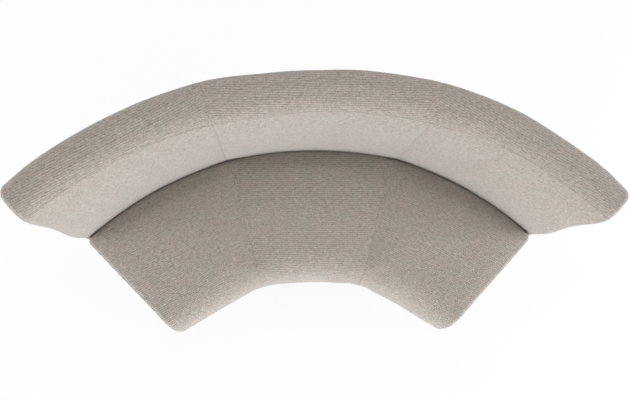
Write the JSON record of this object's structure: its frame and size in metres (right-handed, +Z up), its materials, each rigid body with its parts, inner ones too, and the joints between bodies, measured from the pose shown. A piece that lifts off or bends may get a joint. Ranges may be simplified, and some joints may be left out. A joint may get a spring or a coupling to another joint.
{
  "type": "curved banquette bench",
  "caption": "Curved upholstered banquette bench in ribbed taupe cloth: soft front roll, leaning backrest, wooden frame, steel legs with levelling feet.",
  "frame": {"origin": "centre of the bench's bounding box in plan, on the floor", "axes": "+X along the bench, to the right for someone who faces it; +Y from the seat's front towards the back; +Z up"},
  "size_m": [1.8148, 0.8384, 0.8301],
  "materials": {
    "seat_cloth": "ribbed woven taupe grey cloth",
    "back_cloth": "ribbed woven taupe grey cloth",
    "foam": "cream seating foam",
    "webbing": "elastic woven webbing",
    "timber": "planed beech",
    "plywood": "birch plywood",
    "zinc_steel": "zinc plated",
    "dust_cloth": "black non-woven cloth",
    "leg_steel": "fine-textured black powder coat",
    "foot_steel": "zinc plated"
  },
  "bodies": {
    "bench": {"seat_cover_left": "seat_cloth", "seat_foam_left": "foam", "back_cover_left": "back_cloth", "back_foam_left": "foam", "seat_webbing_left": "webbing", "seat_front_rail_left": "timber", "seat_rear_rail_left": "timber", "back_top_rail_left": "plywood", "back_bottom_rail_left": "plywood", "back_inner_panel_left": "plywood", "back_outer_panel_left": "plywood", "seat_cover_centre": "seat_cloth", "seat_foam_centre": "foam", "back_cover_centre": "back_cloth", "back_foam_centre": "foam", "seat_webbing_centre": "webbing", "seat_front_rail_centre": "timber", "seat_rear_rail_centre": "timber", "back_top_rail_centre": "plywood", "back_bottom_rail_centre": "plywood", "back_inner_panel_centre": "plywood", "back_outer_panel_centre": "plywood", "seat_cover_right": "seat_cloth", "seat_foam_right": "foam", "back_cover_right": "back_cloth", "back_foam_right": "foam", "seat_webbing_right": "webbing", "seat_front_rail_right": "timber", "seat_rear_rail_right": "timber", "back_top_rail_right": "plywood", "back_bottom_rail_right": "plywood", "back_inner_panel_right": "plywood", "back_outer_panel_right": "plywood", "seat_cross_rail_left_end": "timber", "back_upright_left_end": "timber", "seat_cross_rail_left_seam": "timber", "back_upright_left_seam": "timber", "seat_cross_rail_right_seam": "timber", "back_upright_right_seam": "timber", "seat_cross_rail_right_end": "timber", "back_upright_right_end": "timber", "frame_bolts": "zinc_steel", "leg_screws": "zinc_steel", "dust_cover": "dust_cloth", "leg_front_left_end": "leg_steel", "leg_rear_left_end": "leg_steel", "leg_front_left_seam": "leg_steel", "leg_rear_left_seam": "leg_steel", "leg_front_right_seam": "leg_steel", "leg_rear_right_seam": "leg_steel", "leg_front_right_end": "leg_steel", "leg_rear_right_end": "leg_steel"},
    "foot_front_left_end": {"levelling_foot_front_left_end": "foot_steel"},
    "foot_rear_left_end": {"levelling_foot_rear_left_end": "foot_steel"},
    "foot_front_left_seam": {"levelling_foot_front_left_seam": "foot_steel"},
    "foot_rear_left_seam": {"levelling_foot_rear_left_seam": "foot_steel"},
    "foot_front_right_seam": {"levelling_foot_front_right_seam": "foot_steel"},
    "foot_rear_right_seam": {"levelling_foot_rear_right_seam": "foot_steel"},
    "foot_front_right_end": {"levelling_foot_front_right_end": "foot_steel"},
    "foot_rear_right_end": {"levelling_foot_rear_right_end": "foot_steel"}
  },
  "joints": [
    {"name": "level_front_left_end", "type": "slide", "parent": "bench", "child": "foot_front_left_end", "axis": [0, 0, -1], "range_m": [0, 0.015]},
    {"name": "level_rear_left_end", "type": "slide", "parent": "bench", "child": "foot_rear_left_end", "axis": [0, 0, -1], "range_m": [0, 0.015]},
    {"name": "level_front_left_seam", "type": "slide", "parent": "bench", "child": "foot_front_left_seam", "axis": [0, 0, -1], "range_m": [0, 0.015]},
    {"name": "level_rear_left_seam", "type": "slide", "parent": "bench", "child": "foot_rear_left_seam", "axis": [0, 0, -1], "range_m": [0, 0.015]},
    {"name": "level_front_right_seam", "type": "slide", "parent": "bench", "child": "foot_front_right_seam", "axis": [0, 0, -1], "range_m": [0, 0.015]},
    {"name": "level_rear_right_seam", "type": "slide", "parent": "bench", "child": "foot_rear_right_seam", "axis": [0, 0, -1], "range_m": [0, 0.015]},
    {"name": "level_front_right_end", "type": "slide", "parent": "bench", "child": "foot_front_right_end", "axis": [0, 0, -1], "range_m": [0, 0.015]},
    {"name": "level_rear_right_end", "type": "slide", "parent": "bench", "child": "foot_rear_right_end", "axis": [0, 0, -1], "range_m": [0, 0.015]}
  ]
}
